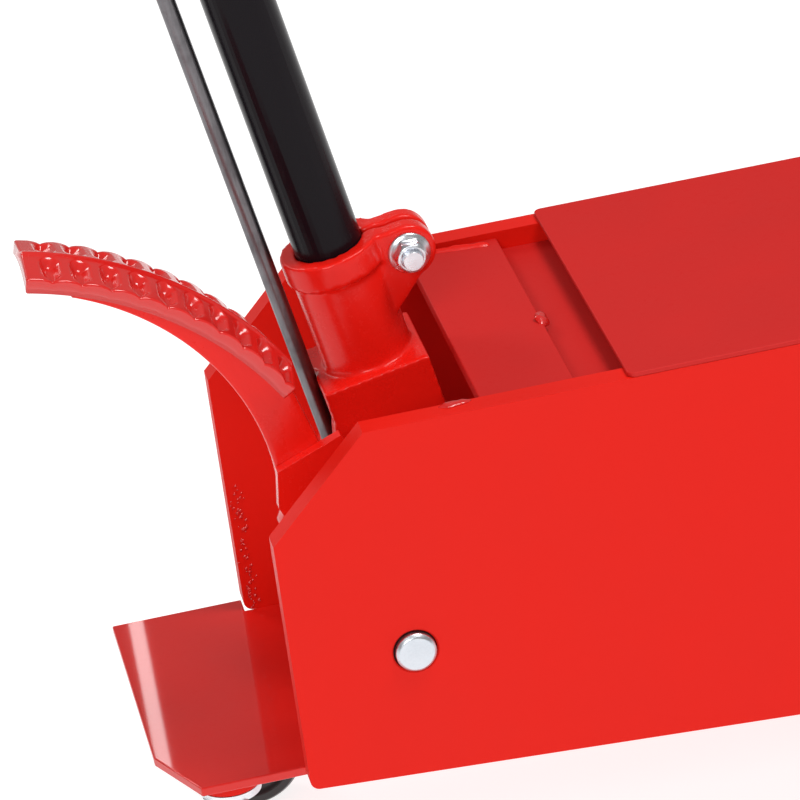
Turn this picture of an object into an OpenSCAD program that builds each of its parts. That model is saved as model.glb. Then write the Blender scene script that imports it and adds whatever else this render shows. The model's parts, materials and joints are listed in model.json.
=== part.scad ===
// Long-chassis workshop trolley jack: side-plate chassis on steel wheels, lever-handle pump,
// quick-lift foot pedal, twist release rod and a levelling saddle on a pivoted lift arm.
// Units are millimetres. +X runs to the saddle end, +Z is up, the pedal sits on the -Y side.

/* [Chassis] */
// outer width over the two side plates
chassis_w = 260; // [240:1:300]
// thickness of each side plate
plate_t = 16; // [12:1:18]
// straight part of the rear edge
rear_edge_h = 165; // [150:1:180]
// leg of the 45 degree cut at the top rear corner
rear_cut = 62; // [40:1:66]
// distance from the rear edge to the front axle
axle_x = 965; // [930:1:1100]
// height of the bottom rear corner above the floor
rear_gap = 105; // [100:1:120]
// thickness of the top cover sheet
cover_t = 3; // [2:0.5:5]
// overhang of the rear base plate behind the side plates
base_over = 85; // [70:1:95]
// thickness of the rear base plate
base_t = 6; // [5:0.5:8]

/* [Handle] */
// backward lean of the handle at rest, in degrees
handle_lean = 10.8; // [8:0.1:14]
// outside diameter of the handle tube
tube_d = 42; // [38:0.5:44]
// wall of the handle tube
tube_wall = 3; // [2:0.5:5]
// distance from the yoke pivot to the top of the handle tube
handle_top = 1180; // [900:5:1300]
// offset of the handle tube in front of the yoke pivot
tube_off = 39.5; // [38:0.5:42]
// diameter of the release rod
rod_d = 10.5; // [9:0.5:12]
// diameter of the yoke pivot pins
pin_d = 25; // [20:0.5:28]

/* [Lift arm] */
// arm pivot to saddle pivot
arm_len = 467; // [440:1:500]
// angle of the lowered arm below level, in degrees
arm_drop = 16; // [12:0.5:18]
// diameter of the arm shaft
shaft_d = 40; // [34:1:44]
// arm pivot to lever pin
lever_r = 95; // [90:1:98]
// diameter of the saddle
saddle_d = 120; // [100:1:124]

/* [Hydraulics] */
// outside diameter of the ram cylinder
ram_d = 76; // [70:1:80]
// diameter of the piston rod
piston_rod_d = 40; // [34:1:44]
// diameter of the pump plunger
plunger_d = 18; // [14:1:20]

/* [Wheels] */
// diameter of the front wheels
wheel_d = 160; // [150:1:170]
// width of the front wheels
wheel_w = 48; // [36:1:54]
// diameter of the front axle
axle_d = 30; // [24:1:32]
// diameter of the castor wheels
castor_d = 68; // [60:1:70]
// distance of each castor from the middle plane
castor_y = 60; // [60:1:66]

/* [Hidden] */
$fn = 72;
run_fit = 0.05;
slip = 0.5;
eps = 0.01;

// colours
red = [0.80, 0.10, 0.07];
black = [0.05, 0.05, 0.06];
steel = [0.55, 0.56, 0.58];
bright = [0.78, 0.79, 0.80];
rubber = [0.08, 0.08, 0.08];
brass = [0.75, 0.60, 0.28];

// chassis
half_w = chassis_w / 2;
in_w = half_w - plate_t;
plate_top = rear_edge_h + rear_cut;
nose_r = 36;
wheel_r = wheel_d / 2;
axle_z = wheel_r - rear_gap;
nose_low = axle_z - nose_r;
nose_run = 70;
nose_back = 60;
nose_z = 52;
corner_r = 6;
corner_sink = 0.4;
arm_x = axle_x - 375;
arm_z = plate_top - 77;
top_end = arm_x + 50;
cover_x0 = rear_cut + 160;
cover_x1 = arm_x - 70;
cover_corner = 5;
cross_x0 = rear_cut + 74;
cross_w = 58;
cross_t = 8;
cross_top = plate_top - 4;
tongue_t = 4;
tongue_lap = 10;
tongue_under = 24;
base_near = half_w - 29.5;
base_cut_x = 22;
base_cut_y = 49;
tongue_x = 100;
belly_x0 = 160;
belly_x1 = 300;
belly_t = 8;
front_back = 165;
front_l = 80;
front_t = 10;
front_drop = 8;
cradle_back = 30;
cradle_t = 12;
cradle_rise = 14;
shaft_over = 12;
collar_wide = 11;
collar_l = 8;
washer_wide = 8;
washer_t = 2.4;
side_play = 0.6;
axle_nut_wide = 9;
axle_nut_h = 8;

// yoke and handle
pivot_x = 74.5;
pivot_z = 78.5;
pin_r = pin_d / 2;
pin_sink = 2;
pin_cham = 2;
pin_out = 4;
pin_in = 23;
tube_r = tube_d / 2;
collar_r = tube_r + 10;
socket_r = tube_r + 7;
collar_top = 210;
collar_low = 193;
block_top = 133;
block_v0 = tube_off - 35;
block_v1 = tube_off + 32.5;
cheek_out = 35;
cheek_in = 22;
cave_v = tube_off + 6;
cave_u = block_top - 10;
far_cut = 60;
block_low = 30;
boss_r = pin_r + 11.5;
socket_floor = 140;
bolt_u = 192;
bolt_v = tube_off + collar_r + 12.3;
ear_r = 17;
ear_y = 15;
split = 4;
bolt_r = 6;
lug_r = 40;
lug_end_r = 10.4;
roller_r = 11;
roller_pin_r = 5;
pump_y = 52;
roller_half = 8;
lug_t = 6;
rod_r = rod_d / 2;
rod_room = 1.5;
yoke_drop = 20;
lug_clear = 18;
ear_root = 34;
bolt_play = 0.3;
washer_r = 13;
washer_nut_t = 2.5;
clamp_hex_r = 10.4;
clamp_hex_h = 8;
clamp_nut_h = 9;
bolt_tail = 15;
rod_top = handle_top - 60;
guide_low = handle_top - 480;
guide_high = handle_top - 130;
bar_r = 14;
bar_half = 165;
grip_r = 18;
grip_l = 110;
grip_end_t = 6;
grip_flange = 4;
bar_drop = 26;
bar_wall = 3;
guide_h = 18;
guide_wall = 4;
guide_eye = 5;
guide_fit = 0.08;
guide_web_w = 12;
knob_h = 56;
knob_top_h = 4;
knob_taper = 3;
knob_grip = 30;
flute_r = 4;
flute_out = 2.5;
flute_low = 6;

// release valve drive
ball_r = 9;
cup_in = ball_r + 0.6;
cup_out = 15;
cup_rim = 2.5;
cup_cut = 20;
valve_lean = 33;
drive_r = 2.5;
drive_half = 12.6;
slot_w = 2 * drive_r + 2.6;
slot_low = 7.5;
stem_r = 7;
stem_end = 84;
gland_near = 42;
gland_far = 60;
gland_r = 15;
nose_x0 = 104;
nose_half = 20;
nose_top = 34;

// pedal
pedal_y = -68;
tread_half = 30;
tread_cx = pivot_x - 233.5;
tread_cz = pivot_z + 54.5;
tread_r = 222;
tread_t = 9;
tread_rise = 5;
tread_a0 = 32.5;
tread_a1 = 78;
pockets = 10;
pocket_deep = 6;
pocket_half = 6;
lip_w = 3;
spine_w = 3.5;
pocket_in = spine_w + 1 + pocket_half;
pocket_out = tread_half - lip_w;
web_half = 8;
web_cx = pivot_x - 224.5;
web_cz = pivot_z + 91.5;
web_r = 165;
web_inset = 7;
web_neck = 150;
tread_lap = 6;
tread_floor = 4;
ped_plate_t = 8;
ped_boss_r = pin_r + 13.5;
ped_foot = 10;
ped_ear = 3;
ped_boss_near = 100;
ped_boss_far = 48;

// pump and ram
lever_swing = 30;
block_x0 = 180;
block_x1 = 290;
block_half = 80;
block_h = 125;
bolt_edge = 14;
bolt_side = 12;
bolt_head_r = 10;
bolt_head_h = 8;
bolt_washer_r = 11;
bolt_washer_t = 2;
valve_end = stem_end + 4;
pump_floor = 8;
ram_floor = 8;
spanner_r = 3;
spanner_deep = 5;
tank_foot = 8;
tank_foot_half = 24;
tank_wall = 4;
tank_end_t = 5;
filler_back = 40;
filler_r = 8;
filler_deep = 6;
filler_head_r = 9;
filler_head_h = 7;
filler_flange_r = 11;
filler_flange_t = 2;
gland_wide = 8;
ram_z = arm_z - lever_r * (1 + cos(lever_swing)) / 2;
ram_r = ram_d / 2;
ram_bore = ram_r - 10;
ram_x1 = arm_x - 100;
gland_t = 15;
prod_r = piston_rod_d / 2;
prod_l = 170;
piston_l = 20;
cross_web = 12;
lever_root_w = 36;
lever_tip_w = 22;
pin_over = 2;
tip_pin_over = 3;
plunger_back = 60;
lever_x = arm_x - lever_r * sin(lever_swing);
lever_z = arm_z - lever_r * cos(lever_swing);
lever_pin_r = 13;
head_half = 26;
slot_fit = 1.3;
head_y = 44;
head_z = 34;
plunger_r = plunger_d / 2;
head_gap = 0.5;
head_x = pivot_x + roller_r + head_gap;
head_t = 8;
head_r = 15;
pump_z = pivot_z - lug_r;
pump_wire = 1.8;
pump_coil_gap = 3.6;
pump_coil_end = 0.3;
pump_turns = 6;
pedal_wire = 2;
pedal_coil_gap = 2.6;
pedal_coil_end = 1.5;
pedal_turns = 1.5;
pgland_x = block_x0 - 10;
tank_r = 38;
tank_x0 = block_x0 + 12;
tank_x1 = block_x0 + 240;
tank_z = block_h + tank_r + 3;

// lift arm
shaft_r = shaft_d / 2;
hub_r = shaft_r + 20;
hub_half = 64;
cheek_y0 = 50;
cheek_t = 12;
arm_root = hub_r + 6;
arm_tip = 27;
tip_pin_r = 11;
web_t = 8;
web_off = 14;
web_s0 = 70;
web_s1 = arm_len - 84;
link_dx = shaft_r + 2.5;
link_dz = -shaft_r - 19;
link_pin_r = 8;
link_eye_r = 15;
link_half = 11;
link_y0 = 68;
link_t = 12;
link_fit = 0.4;
link_pin_over = 5;
spacer_r = shaft_r + 6;
tip_x = arm_x + arm_len * cos(arm_drop);
tip_z = arm_z - arm_len * sin(arm_drop);
seat_h = 45;
brk_half = 48;
spigot_r = 15;
spigot_l = 26;
saddle_r = saddle_d / 2;
saddle_h = 28;
saddle_cone = 12;
saddle_in = 16;
saddle_rim = 9;
saddle_deep = 8;
rib_w = 10;
rib_h = 4;
adapter_r = 10;
adapter_boss = 8;
adapter_deep = 26;
tooth_in = 10;
tooth_w = 8;
tooth_h = 4;
brk_boss = 12;
brk_x = 26;
brk_ear_t = 14;
brk_eye = 8;

// wheels and castors
axle_r = axle_d / 2;
wheel_gap = 4;
bore_fit = 0.08;
hub_wide = 14;
dish = 10;
tyre_in = 14;
tyre_edge = 3;
tyre_cham = 6;
wheel_hole_r = 9;
wheel_y0 = half_w + wheel_gap;
wheel_y1 = wheel_y0 + wheel_w;
washer_end = wheel_y1 + side_play + washer_t;
axle_end = washer_end + axle_nut_h + 1;
castor_x = -42;
housing_r = 20;
castor_r = castor_d / 2;
castor_off = 24;
castor_w = 30;
kingpin_r = 8;
housing_h = 16;
crown_t = 5;
crown_r = 19;
leg_t = 4;
castor_axle_r = 5;
leg_play = 1.5;
leg_top = 8;
leg_foot = 11;
leg_round = 6;
castor_hub = 7;
castor_dish = 4;
castor_rim = 8;
castor_edge = 3;
castor_cham = 5;

// row frame: floor at zero, middle of the length at zero
knob_gap = 3.5;
knob_r = tube_off - tube_r - knob_gap;
x_front = tip_x + saddle_r;
knob_end = rod_top - knob_grip + knob_h;
x_rear = pivot_x - knob_end * sin(handle_lean) - knob_r * cos(handle_lean);
row_x = -(x_front + x_rear) / 2;
row_z = rear_gap;

// helpers

module row()
    translate([row_x, 0, row_z]) children();

module rod_y(r, y0, y1)
    translate([0, y1, 0]) rotate([90, 0, 0]) cylinder(r = r, h = y1 - y0);

module slab_y(y0, y1)
    translate([0, y1, 0]) rotate([90, 0, 0]) linear_extrude(y1 - y0) children();

module ring_y(r_out, r_in, y0, y1)
    difference() {
        rod_y(r_out, y0, y1);
        rod_y(r_in, y0 - 1, y1 + 1);
    }

module box(x0, x1, y0, y1, z0, z1)
    translate([x0, y0, z0]) cube([x1 - x0, y1 - y0, z1 - z0]);

module at_pivot()
    row() translate([pivot_x, 0, pivot_z]) children();

module in_yoke()
    at_pivot() rotate([0, -handle_lean, 0]) children();

module in_arm()
    row() translate([arm_x, 0, arm_z]) rotate([0, arm_drop, 0]) children();

module in_tip()
    row() translate([tip_x, 0, tip_z]) children();

module soft_rect(lx, ly, r) {
    translate([r, 0]) square([lx - 2 * r, ly]);
    translate([0, r]) square([lx, ly - 2 * r]);
    for (px = [r, lx - r], py = [r, ly - r])
        translate([px, py]) circle(r);
}

// helical coil of round wire, built from short straight lengths
module coil(r, wire, length, turns, step = 12)
    for (i = [0 : turns * step - 1])
        hull() {
            for (j = [i, i + 1])
                rotate([0, 0, j * 360 / step])
                    translate([r, 0, wire + (length - 2 * wire) * j / (turns * step)])
                        sphere(wire, $fn = 8);
        }

// chassis

module side_outline()
    difference() {
        union() {
            polygon([[0, 0], [0, rear_edge_h], [rear_cut, plate_top], [top_end, plate_top],
                [top_end + nose_run, plate_top - nose_run], [axle_x - nose_back, nose_z],
                [axle_x, axle_z + nose_r], [axle_x, nose_low]]);
            translate([axle_x, axle_z]) circle(nose_r);
        }
        difference() {
            translate([-1, -2]) square([corner_r + 1, corner_r + 1]);
            translate([corner_r, corner_r - corner_sink]) circle(corner_r);
        }
        translate([pivot_x, pivot_z]) circle(pin_r + run_fit);
        translate([arm_x, arm_z]) circle(shaft_r + run_fit);
        translate([axle_x, axle_z]) circle(axle_r + run_fit);
    }

module pin_mouth()
    translate([pivot_x, -half_w - eps, pivot_z]) rotate([-90, 0, 0])
        cylinder(r1 = pin_r + pin_sink, r2 = pin_r, h = pin_sink + eps);

module side_plate_near()
    color(red) row() difference() {
        slab_y(-half_w, -in_w) side_outline();
        pin_mouth();
    }

module side_plate_far()
    color(red) row() mirror([0, 1, 0]) difference() {
        slab_y(-half_w, -in_w) side_outline();
        pin_mouth();
    }

module top_cover()
    color(red) row() translate([cover_x0, -half_w, plate_top])
        linear_extrude(cover_t) soft_rect(cover_x1 - cover_x0, chassis_w, cover_corner);

// cross plate with a lowered tongue over the pump unit, which runs in under the cover
module rear_cross_plate()
    color(red) row() {
        box(cross_x0, cross_x0 + cross_w, -in_w, in_w, cross_top - cross_t, cross_top);
        box(cross_x0 + cross_w - tongue_lap, cover_x0 + tongue_under, -in_w, in_w,
            cross_top - cross_t - tongue_t, cross_top - cross_t);
    }

module base_plate()
    color(red) row() translate([0, 0, -base_t]) linear_extrude(base_t)
        polygon([[-base_over, half_w], [0, half_w], [0, in_w], [tongue_x, in_w],
            [tongue_x, -base_near], [-base_over + base_cut_x, -base_near],
            [-base_over, -base_near + base_cut_y]]);

module belly_plate()
    color(red) row() box(belly_x0, belly_x1, -in_w, in_w, -belly_t, 0);

module front_cross_plate()
    color(red) row() box(axle_x - front_back, axle_x - front_back + front_l, -in_w, in_w,
        axle_z - front_drop - front_t, axle_z - front_drop);

module ram_cradle()
    color(red) row() difference() {
        box(ram_x1 - cradle_back, ram_x1 - cradle_back + cradle_t, -in_w, in_w,
            0, ram_z + ram_r + cradle_rise);
        translate([ram_x1 - cradle_back - 1, 0, ram_z]) rotate([0, 90, 0])
            cylinder(r = ram_r + run_fit, h = cradle_t + 2);
    }

// stub pins that carry the yoke and the pedal, with a chamfered outer end
module yoke_pins()
    color(bright) at_pivot() for (s = [-1, 1]) scale([1, s, 1]) {
        rod_y(pin_r, pin_in, half_w + pin_out - pin_cham);
        translate([0, half_w + pin_out - pin_cham, 0]) rotate([-90, 0, 0])
            cylinder(r1 = pin_r, r2 = pin_r - pin_cham, h = pin_cham);
    }

module arm_shaft()
    color(steel) row() translate([arm_x, 0, arm_z])
        rod_y(shaft_r, -half_w - shaft_over, half_w + shaft_over);

module shaft_collars()
    color(steel) row() translate([arm_x, 0, arm_z]) for (s = [-1, 1]) scale([1, s, 1]) {
        ring_y(spacer_r, shaft_r, hub_half + slip, in_w);
        ring_y(shaft_r + collar_wide, shaft_r, half_w, half_w + collar_l);
    }

module link_anchors()
    color(steel) row() translate([arm_x + link_dx, 0, arm_z + link_dz])
        for (s = [-1, 1]) scale([1, s, 1]) rod_y(link_pin_r, link_y0 - 2, in_w);

module front_axle()
    color(steel) row() translate([axle_x, 0, axle_z]) rod_y(axle_r, -axle_end, axle_end);

module axle_washers()
    color(bright) row() translate([axle_x, 0, axle_z]) for (s = [-1, 1]) scale([1, s, 1]) {
        ring_y(axle_r + washer_wide, axle_r, half_w, half_w + wheel_gap - side_play);
        ring_y(axle_r + washer_wide, axle_r, wheel_y1 + side_play, washer_end);
    }

module axle_nuts()
    color(bright) row() translate([axle_x, 0, axle_z]) for (s = [-1, 1]) scale([1, s, 1])
        difference() {
            translate([0, washer_end + axle_nut_h, 0]) rotate([90, 0, 0])
                cylinder(r = axle_r + axle_nut_wide, h = axle_nut_h, $fn = 6);
            rod_y(axle_r, wheel_y1, axle_end);
        }

// hydraulic unit

module along_valve()
    at_pivot() rotate([0, 180 - valve_lean, 0]) children();

module hydraulic_block()
    color(red) difference() {
        row() {
            box(block_x0, block_x1, -block_half, block_half, 0, block_h);
            box(nose_x0, block_x0, -nose_half, nose_half, 0, nose_top);
        }
        along_valve() cylinder(r = gland_r + run_fit, h = gland_far);
        along_valve() cylinder(r = stem_r + run_fit, h = valve_end);
        row() translate([block_x0 - 1, pump_y, pump_z]) rotate([0, 90, 0])
            cylinder(r = plunger_r + run_fit, h = block_x1 - block_x0 - pump_floor);
    }

module block_bolts()
    color(bright) row() for (px = [block_x0 + bolt_edge, block_x1 - bolt_edge], s = [-1, 1])
        translate([px, s * (block_half - bolt_side), block_h]) {
            cylinder(r = bolt_washer_r, h = bolt_washer_t);
            translate([0, 0, bolt_washer_t]) cylinder(r = bolt_head_r, h = bolt_head_h, $fn = 6);
        }

module ram_cylinder()
    color(red) row() translate([block_x1, 0, ram_z]) rotate([0, 90, 0]) difference() {
        cylinder(r = ram_r, h = ram_x1 - gland_t - block_x1);
        translate([0, 0, ram_floor]) cylinder(r = ram_bore + run_fit, h = ram_x1);
    }

module ram_gland()
    color(steel) row() translate([ram_x1 - gland_t, 0, ram_z]) rotate([0, 90, 0]) difference() {
        cylinder(r = ram_r, h = gland_t);
        translate([0, 0, -1]) cylinder(r = prod_r + run_fit, h = gland_t + 2);
        for (k = [0 : 3])
            rotate([0, 0, k * 90 + 45]) translate([ram_r - 5, 0, gland_t - spanner_deep])
                cylinder(r = spanner_r, h = spanner_deep + 1);
    }

module oil_tank()
    color(red) row() difference() {
        union() {
            translate([tank_x0, 0, tank_z]) rotate([0, 90, 0]) cylinder(r = tank_r, h = tank_x1 - tank_x0);
            box(tank_x0 + tank_foot, block_x1 - tank_foot, -tank_foot_half, tank_foot_half,
                block_h, tank_z - tank_r / 2);
        }
        translate([tank_x0 + tank_end_t, 0, tank_z]) rotate([0, 90, 0])
            cylinder(r = tank_r - tank_wall, h = tank_x1 - tank_x0 - 2 * tank_end_t);
        translate([tank_x1 - filler_back, 0, tank_z]) cylinder(r = filler_r, h = tank_r + 1);
    }

module filler_plug()
    color(brass) row() translate([tank_x1 - filler_back, 0, tank_z + tank_r]) {
        translate([0, 0, -filler_deep]) cylinder(r = filler_r - run_fit, h = filler_deep);
        cylinder(r = filler_flange_r, h = filler_flange_t);
        translate([0, 0, filler_flange_t]) cylinder(r = filler_head_r, h = filler_head_h, $fn = 6);
    }

module valve_gland()
    color(steel) along_valve() difference() {
        translate([0, 0, gland_near]) cylinder(r = gland_r, h = gland_far - gland_near);
        cylinder(r = stem_r + run_fit, h = gland_far + 1);
    }

module pump_gland()
    color(steel) row() translate([pgland_x, pump_y, pump_z]) rotate([0, 90, 0]) difference() {
        cylinder(r = plunger_r + gland_wide, h = block_x0 - pgland_x, $fn = 6);
        translate([0, 0, -1]) cylinder(r = plunger_r + run_fit, h = block_x0 - pgland_x + 2, $fn = 72);
    }

module castor_housings()
    color(red) row() for (s = [-1, 1]) translate([castor_x, s * castor_y, -base_t - housing_h])
        difference() {
            cylinder(r = housing_r, h = housing_h);
            translate([0, 0, -1]) cylinder(r = kingpin_r + run_fit, h = housing_h - 1);
        }

module pedal_spring()
    color(steel) at_pivot() translate([0, -ped_boss_near - pedal_coil_end, 0]) rotate([90, 0, 0])
        coil(pin_r + pedal_coil_gap, pedal_wire, in_w - ped_boss_near - pedal_coil_end, pedal_turns);

// handle yoke

module yoke_side_shape() {
    polygon([[block_v0, block_low], [block_v0, block_top], [block_v1, block_top],
        [block_v1, block_low]]);
    polygon([[block_v0, block_top - yoke_drop], [block_v1, block_low], [pin_r + 4, 1 - yoke_drop],
        [-pin_r - 1.5, -yoke_drop], [-boss_r, 4], [-boss_r + 4, yoke_drop + 4]]);
    circle(boss_r);
}

module yoke_ear_shape() {
    translate([bolt_v, bolt_u]) circle(ear_r);
    polygon([[tube_off, collar_top - 1], [bolt_v, bolt_u + ear_r], [bolt_v + 4, bolt_u - ear_r + 1],
        [tube_off + socket_r - 2, bolt_u - ear_root], [tube_off, bolt_u - ear_root]]);
}

module yoke()
    color(red) in_yoke() difference() {
        union() {
            difference() {
                slab_y(-cheek_out, cheek_out) yoke_side_shape();
                translate([-far_cut, -cheek_in, -far_cut])
                    cube([cave_v + far_cut, 2 * cheek_in, cave_u + far_cut]);
                translate([-far_cut, -cheek_in, -far_cut])
                    cube([3 * far_cut, 2 * cheek_in, block_low + far_cut]);
            }
            translate([tube_off, 0, block_top - eps]) cylinder(r = socket_r, h = collar_top - block_top);
            translate([tube_off, 0, collar_low]) cylinder(r = collar_r, h = collar_top - collar_low);
            slab_y(-ear_y, ear_y) yoke_ear_shape();
            rod_y(boss_r, -ped_boss_far + 3, -cheek_out);
            rod_y(boss_r, cheek_out, in_w - 4);
            for (y0 = [pump_y - roller_half - slip - lug_t, pump_y + roller_half + slip])
                rotate([0, handle_lean, 0]) slab_y(y0, y0 + lug_t) {
                    translate([0, -lug_r]) circle(lug_end_r);
                    translate([-lug_end_r, -lug_r]) square([2 * lug_end_r, lug_r - lug_clear]);
                }
        }
        translate([tube_off, 0, socket_floor]) cylinder(r = tube_r + run_fit, h = 80);
        translate([tube_off, -split / 2, socket_floor]) cube([bolt_v + tube_off, split, 90]);
        translate([bolt_v, 0, bolt_u]) rod_y(bolt_r + bolt_play, -2 * ear_y, 2 * ear_y);
        cylinder(r = rod_r + rod_room, h = collar_top + 1);
        rod_y(pin_r + run_fit, -in_w, in_w);
        rotate([0, handle_lean, 0]) translate([0, 0, -lug_r]) rod_y(roller_pin_r, 0, 80);
    }

module clamp_bolt()
    color(bright) in_yoke() translate([bolt_v, 0, bolt_u]) {
        rod_y(bolt_r, -ear_y - bolt_tail, ear_y + slip);
        translate([0, ear_y + 2 + clamp_hex_h, 0]) rotate([90, 0, 0])
            cylinder(r = clamp_hex_r, h = clamp_hex_h, $fn = 6);
        rod_y(washer_r, ear_y, ear_y + 2);
    }

module clamp_nut()
    color(bright) in_yoke() translate([bolt_v, 0, bolt_u]) difference() {
        union() {
            rod_y(washer_r, -ear_y - washer_nut_t, -ear_y);
            rotate([90, 0, 0]) translate([0, 0, ear_y + washer_nut_t - eps])
                cylinder(r = clamp_hex_r, h = clamp_nut_h, $fn = 6);
        }
        rod_y(bolt_r, -ear_y - bolt_tail - 5, 0);
    }

module handle_tube()
    color(black) in_yoke() translate([tube_off, 0, socket_floor]) difference() {
        cylinder(r = tube_r, h = handle_top - socket_floor);
        translate([0, 0, -1]) cylinder(r = tube_r - tube_wall, h = handle_top - socket_floor + 2);
        translate([0, 0, handle_top - socket_floor - bar_drop]) rod_y(bar_r, -2 * tube_r, 2 * tube_r);
    }

module handle_crossbar()
    color(black) in_yoke() translate([tube_off, 0, handle_top - bar_drop]) difference() {
        rod_y(bar_r, -bar_half, bar_half);
        for (s = [-1, 1]) scale([1, s, 1]) rod_y(bar_r - bar_wall, tube_r + 10, bar_half + 1);
    }

module handle_grips()
    color(rubber) in_yoke() translate([tube_off, 0, handle_top - bar_drop])
        for (s = [-1, 1]) scale([1, s, 1]) {
            ring_y(grip_r, bar_r, bar_half - grip_l + grip_end_t, bar_half);
            rod_y(grip_r, bar_half, bar_half + grip_end_t);
            ring_y(grip_r + grip_flange, bar_r, bar_half - grip_l, bar_half - grip_l + grip_end_t);
        }

module rod_guides()
    color(black) in_yoke() for (u = [guide_low, guide_high]) translate([0, 0, u]) difference() {
        union() {
            translate([tube_off, 0, 0]) cylinder(r = tube_r + guide_wall, h = guide_h);
            cylinder(r = rod_r + guide_eye, h = guide_h);
            translate([0, -guide_web_w / 2, 0]) cube([tube_off - tube_r - 1, guide_web_w, guide_h]);
        }
        translate([tube_off, 0, -1]) cylinder(r = tube_r, h = guide_h + 2);
        translate([0, 0, -1]) cylinder(r = rod_r + guide_fit, h = guide_h + 2);
    }

module pump_roller()
    color(steel) at_pivot() translate([0, pump_y, -lug_r]) {
        rod_y(roller_r, -roller_half, roller_half);
        rod_y(roller_pin_r, -roller_half - slip - lug_t - 1, roller_half + slip + lug_t + 1);
    }

// release drive

module release_rod()
    color(steel) in_yoke() difference() {
        union() {
            cylinder(r = rod_r, h = rod_top);
            sphere(ball_r);
        }
        rod_y(drive_r, -2 * ball_r, 2 * ball_r);
    }

module release_knob()
    color(rubber) in_yoke() translate([0, 0, rod_top - knob_grip]) difference() {
        union() {
            cylinder(r = knob_r, h = knob_h);
            translate([0, 0, knob_h])
                cylinder(r1 = knob_r, r2 = knob_r - knob_taper, h = knob_top_h);
        }
        translate([0, 0, -1]) cylinder(r = rod_r, h = knob_grip + 1);
        for (k = [0 : 5])
            rotate([0, 0, k * 60 + 30]) translate([knob_r + flute_out, 0, flute_low])
                cylinder(r = flute_r, h = knob_h + knob_top_h);
    }

module drive_pin()
    color(bright) in_yoke() rod_y(drive_r, -drive_half, drive_half);

module valve_spindle()
    color(steel) along_valve() difference() {
        union() {
            sphere(cup_out);
            translate([0, 0, cup_in + 2]) cylinder(r = stem_r, h = stem_end - cup_in - 2);
        }
        sphere(cup_in);
        translate([-cup_cut, -cup_cut, -2 * cup_cut])
            cube([2 * cup_cut, 2 * cup_cut, 2 * cup_cut - cup_rim]);
        translate([-slot_w / 2, -cup_cut, -cup_cut]) cube([slot_w, 2 * cup_cut, cup_cut + slot_low]);
    }

// foot pedal

// stands a part on the tread curve: local X runs outward, local Y across the tread
module on_tread(a)
    at_pivot() translate([tread_cx - pivot_x, pedal_y, tread_cz - pivot_z])
        rotate([0, -a, 0]) children();

module tread_arc()
    at_pivot() translate([tread_cx - pivot_x, pedal_y, tread_cz - pivot_z])
        rotate([90, 0, 0]) rotate([0, 0, tread_a0])
            rotate_extrude(angle = tread_a1 - tread_a0, $fn = 144)
                polygon([[tread_r - tread_t, -tread_half], [tread_r, -tread_half],
                    [tread_r + tread_rise, -spine_w], [tread_r + tread_rise, spine_w],
                    [tread_r, tread_half], [tread_r - tread_t, tread_half],
                    [tread_r - tread_t, tread_half - tread_lap], [tread_r - tread_floor, 0],
                    [tread_r - tread_t, -tread_half + tread_lap]]);

module pedal_casting() {
    step = (tread_a1 - tread_a0) / pockets;
    color(red) {
        difference() {
            tread_arc();
            for (k = [0 : pockets - 1], s = [-1, 1])
                on_tread(tread_a0 + (k + 0.5) * step)
                    translate([tread_r + tread_rise - pocket_deep, 0, 0]) rotate([0, 90, 0]) {
                        translate([0, s * pocket_in, 0]) cylinder(r = pocket_half, h = 20, $fn = 24);
                        translate([-pocket_half, s > 0 ? pocket_in : -pocket_out, 0])
                            cube([2 * pocket_half, pocket_out - pocket_in, 20]);
                    }
        }
        row() slab_y(pedal_y - web_half, pedal_y + web_half) difference() {
            intersection() {
                translate([tread_cx, tread_cz]) circle(tread_r - web_inset, $fn = 144);
                polygon([[web_cx + 60, web_cz + 160], [tread_cx + tread_r, web_cz + 160],
                    [tread_cx + tread_r, web_cz - 5], [pivot_x - 20, web_neck],
                    [pivot_x - 63, web_neck],
                    [pivot_x - 60, web_cz]]);
            }
            translate([web_cx, web_cz]) circle(web_r, $fn = 144);
            polygon([[pivot_x - 42, pivot_z + 155], [pivot_x - 31.5, pivot_z + 119.5],
                [pivot_x - 20, pivot_z + 60], [pivot_x + 60, pivot_z + 60],
                [pivot_x + 60, pivot_z + 155]]);
        }
    }
}

module pedal_plate()
    color(red) at_pivot() difference() {
        slab_y(pedal_y - web_half - ped_plate_t, pedal_y - web_half) {
            polygon([[-60.5, 111.5], [-20, 127.5], [ped_boss_r, 12], [ped_boss_r - 4, -ped_foot],
                [-ped_boss_r + 4, -ped_foot], [-63, 88]]);
            circle(ped_boss_r + ped_ear);
        }
        rod_y(ped_boss_r, -in_w, 0);
    }

module pedal_boss()
    color(red) at_pivot() ring_y(ped_boss_r, pin_r + run_fit, -ped_boss_near, -ped_boss_far);

// pump and ram moving parts

module pump_plunger()
    color(bright) row() translate([head_x + head_t, pump_y, pump_z]) rotate([0, 90, 0])
        cylinder(r = plunger_r, h = block_x1 - plunger_back - head_x);

module plunger_head()
    color(steel) row() translate([head_x, pump_y, pump_z]) rotate([0, 90, 0])
        cylinder(r = head_r, h = head_t);

module pump_spring()
    color(steel) row() translate([head_x + head_t + pump_coil_end, pump_y, pump_z]) rotate([0, 90, 0])
        coil(plunger_r + pump_coil_gap, pump_wire,
            pgland_x - head_x - head_t - 2 * pump_coil_end, pump_turns);

module piston_rod()
    color(bright) row() translate([lever_x - head_half, 0, ram_z]) rotate([0, -90, 0]) {
        cylinder(r = prod_r, h = prod_l);
        translate([0, 0, prod_l]) cylinder(r = ram_bore, h = piston_l);
    }

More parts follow.
